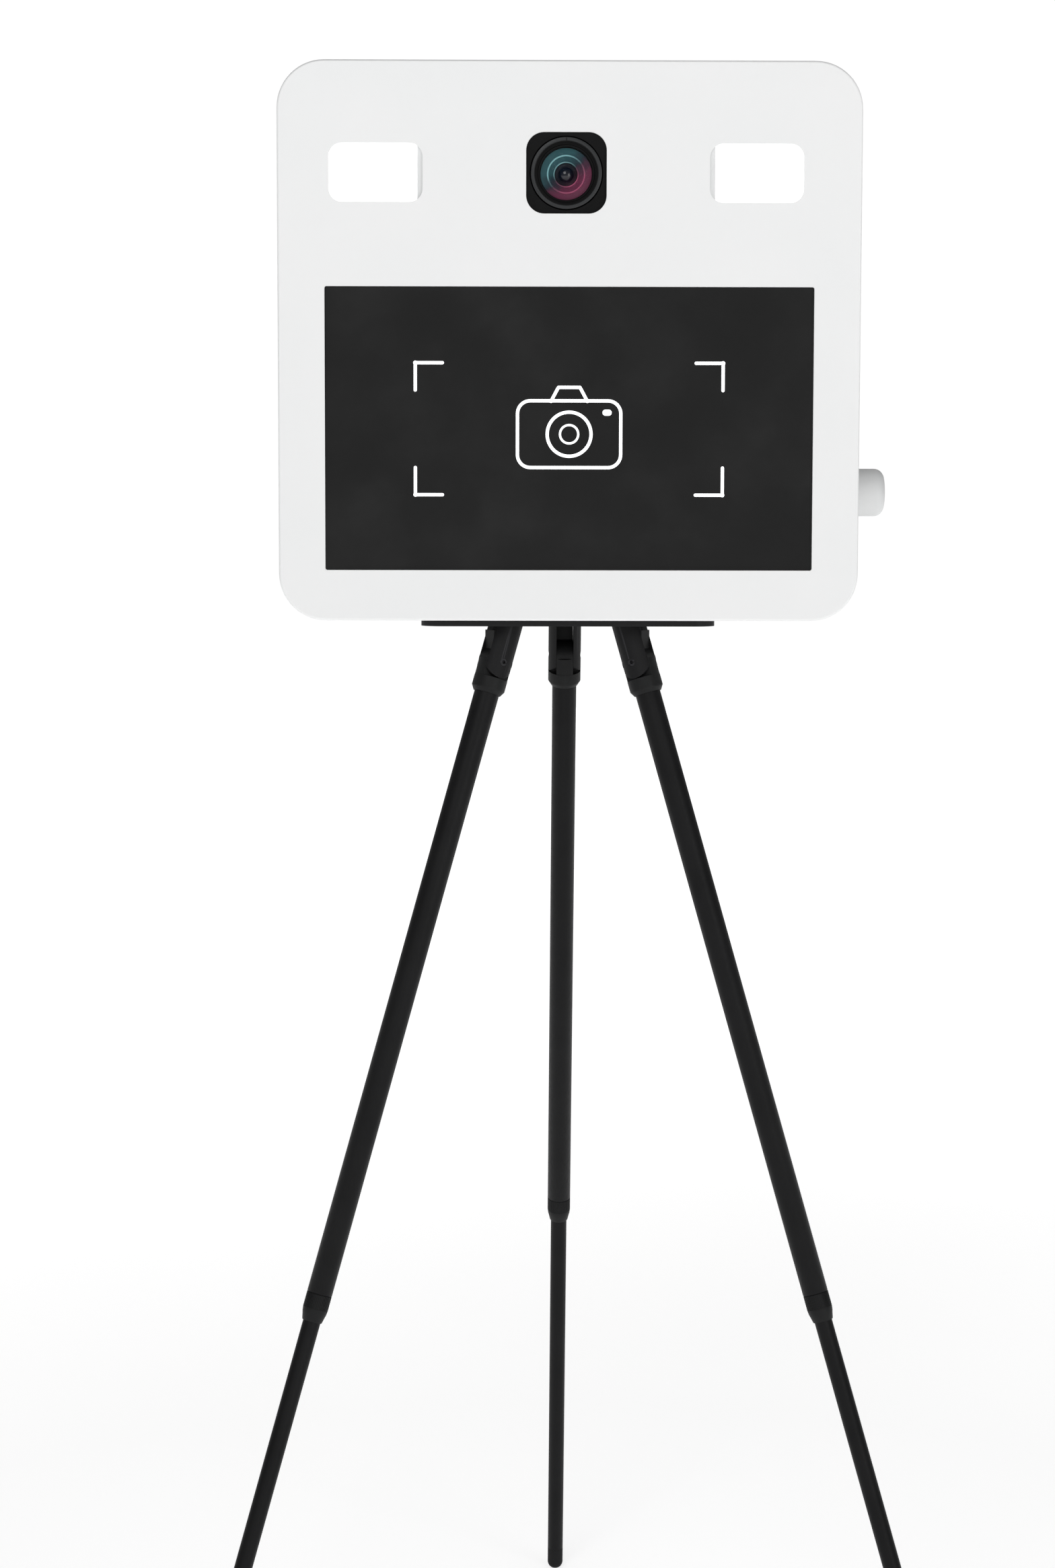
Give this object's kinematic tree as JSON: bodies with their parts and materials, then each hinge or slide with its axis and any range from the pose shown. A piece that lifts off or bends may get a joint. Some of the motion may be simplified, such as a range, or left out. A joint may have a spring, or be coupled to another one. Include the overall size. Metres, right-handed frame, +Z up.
{
  "type": "photo booth",
  "caption": "Free-standing photo booth: a white rounded screen head with camera and two lights, on a black folding stand with telescoping legs.",
  "frame": {"origin": "on the floor, below the middle of the whole footprint", "axes": "+Z up, the screen faces -Y, +X to the right as seen by a person facing the screen"},
  "size_m": [0.7688, 0.668, 1.678],
  "materials": {
    "white_shell": "white powder coat",
    "screen_glass": "polished, black-backed",
    "black_sheet": "satin black",
    "leg_tube": "black anodised",
    "black_plastic": "moulded, fine texture",
    "grey_plastic": "moulded satin",
    "ivory_plastic": "moulded",
    "opal": "opal diffuser",
    "zinc": "zinc plated",
    "sheet_steel": "galvanised",
    "silver_case": "plain sheet, perforated",
    "grey_case": "cast, satin",
    "lens_glass": "coated",
    "circuit": "solder mask",
    "red_plastic": "moulded",
    "rubber": "matte"
  },
  "bodies": {
    "booth": {"front_panel": "white_shell", "housing_shell": "white_shell", "touch_glass": "screen_glass", "display_module": "black_plastic", "display_brackets": "sheet_steel", "chassis_plate": "sheet_steel", "camera_window_frame": "black_plastic", "camera_body": "black_plastic", "camera_shelf": "sheet_steel", "camera_thumbscrew": "zinc", "lens_barrel": "black_plastic", "lens_front_element": "lens_glass", "light_housings": "grey_plastic", "light_diffusers": "opal", "light_led_boards": "circuit", "mini_computer": "grey_case", "power_supply": "silver_case", "power_inlet": "black_plastic", "button_bezel": "zinc", "door_hinge_frame_leaves": "zinc", "door_hinge_pins": "zinc", "latch_bushing": "zinc", "panel_screws": "zinc", "mount_plate": "black_sheet", "plate_bolts": "zinc", "leg_brackets": "black_sheet", "leg_pins": "black_sheet"},
    "door": {"rear_door": "white_shell", "door_hinge_door_leaves": "zinc", "latch_keeper": "zinc", "fan_frame": "black_plastic"},
    "fan": {"fan_rotor": "black_plastic"},
    "zoom": {"lens_zoom_ring": "rubber"},
    "rocker": {"power_rocker": "red_plastic"},
    "button": {"power_button": "zinc"},
    "latch": {"latch_knob": "grey_plastic", "latch_cam": "zinc"},
    "leg_rear_upper": {"leg_rear_knuckle": "black_plastic", "leg_rear_upper_tube": "leg_tube", "leg_rear_collet": "ivory_plastic"},
    "leg_rear_lock": {"leg_rear_twist_sleeve": "black_plastic"},
    "leg_rear_lower": {"leg_rear_lower_tube": "leg_tube", "leg_rear_guide_plug": "ivory_plastic", "leg_rear_foot": "rubber"},
    "leg_left_upper": {"leg_left_knuckle": "black_plastic", "leg_left_upper_tube": "leg_tube", "leg_left_collet": "ivory_plastic"},
    "leg_left_lock": {"leg_left_twist_sleeve": "black_plastic"},
    "leg_left_lower": {"leg_left_lower_tube": "leg_tube", "leg_left_guide_plug": "ivory_plastic", "leg_left_foot": "rubber"},
    "leg_right_upper": {"leg_right_knuckle": "black_plastic", "leg_right_upper_tube": "leg_tube", "leg_right_collet": "ivory_plastic"},
    "leg_right_lock": {"leg_right_twist_sleeve": "black_plastic"},
    "leg_right_lower": {"leg_right_lower_tube": "leg_tube", "leg_right_guide_plug": "ivory_plastic", "leg_right_foot": "rubber"}
  },
  "joints": [
    {"name": "door_swing", "type": "hinge", "parent": "booth", "child": "door", "pos_m": [-0.288, -0.00743, 1.407], "axis": [0, 0, 1], "range_deg": [0, 110]},
    {"name": "fan_spin", "type": "hinge", "parent": "door", "child": "fan", "pos_m": [-0.15, -0.02143, 1.57], "axis": [0, 1, 0], "continuous": true},
    {"name": "zoom_turn", "type": "hinge", "parent": "booth", "child": "zoom", "pos_m": [-0.0034, -0.14443, 1.5705], "axis": [0, 1, 0], "range_deg": [0, 75]},
    {"name": "rocker_tilt", "type": "hinge", "parent": "booth", "child": "rocker", "pos_m": [-0.2805, -0.07643, 1.227], "axis": [0, 1, 0], "range_deg": [-16, 0]},
    {"name": "button_press", "type": "slide", "parent": "booth", "child": "button", "axis": [1, 0, 0], "range_m": [0, 0.0025], "stiffness_N_per_m": 400, "springref_m": -0.002},
    {"name": "latch_turn", "type": "hinge", "parent": "booth", "child": "latch", "pos_m": [0.2835, -0.07843, 1.262], "axis": [1, 0, 0], "range_deg": [0, 90]},
    {"name": "leg_rear_fold", "type": "hinge", "parent": "booth", "child": "leg_rear_upper", "pos_m": [0, -0.02593, 1.0945], "axis": [-1, 0, 0], "range_deg": [0, 17.9]},
    {"name": "leg_rear_twist", "type": "hinge", "parent": "leg_rear_upper", "child": "leg_rear_lock", "pos_m": [0, 0.17765, 0.46458], "axis": [0, -0.3075, 0.9515], "range_deg": [0, 90]},
    {"name": "leg_rear_slide", "type": "slide", "parent": "leg_rear_upper", "child": "leg_rear_lower", "axis": [0, -0.3075, 0.9515], "range_m": [0, 0.43]},
    {"name": "leg_left_fold", "type": "hinge", "parent": "booth", "child": "leg_left_upper", "pos_m": [-0.07145, -0.14968, 1.0945], "axis": [0.5, -0.866, 0], "range_deg": [0, 17.9]},
    {"name": "leg_left_twist", "type": "hinge", "parent": "leg_left_upper", "child": "leg_left_lock", "pos_m": [-0.24775, -0.25147, 0.46458], "axis": [0.2663, 0.1538, 0.9515], "range_deg": [0, 90]},
    {"name": "leg_left_slide", "type": "slide", "parent": "leg_left_upper", "child": "leg_left_lower", "axis": [0.2663, 0.1538, 0.9515], "range_m": [0, 0.43]},
    {"name": "leg_right_fold", "type": "hinge", "parent": "booth", "child": "leg_right_upper", "pos_m": [0.07145, -0.14968, 1.0945], "axis": [0.5, 0.866, 0], "range_deg": [0, 17.9]},
    {"name": "leg_right_twist", "type": "hinge", "parent": "leg_right_upper", "child": "leg_right_lock", "pos_m": [0.24775, -0.25147, 0.46458], "axis": [-0.2663, 0.1538, 0.9515], "range_deg": [0, 90]},
    {"name": "leg_right_slide", "type": "slide", "parent": "leg_right_upper", "child": "leg_right_lower", "axis": [-0.2663, 0.1538, 0.9515], "range_m": [0, 0.43]}
  ]
}
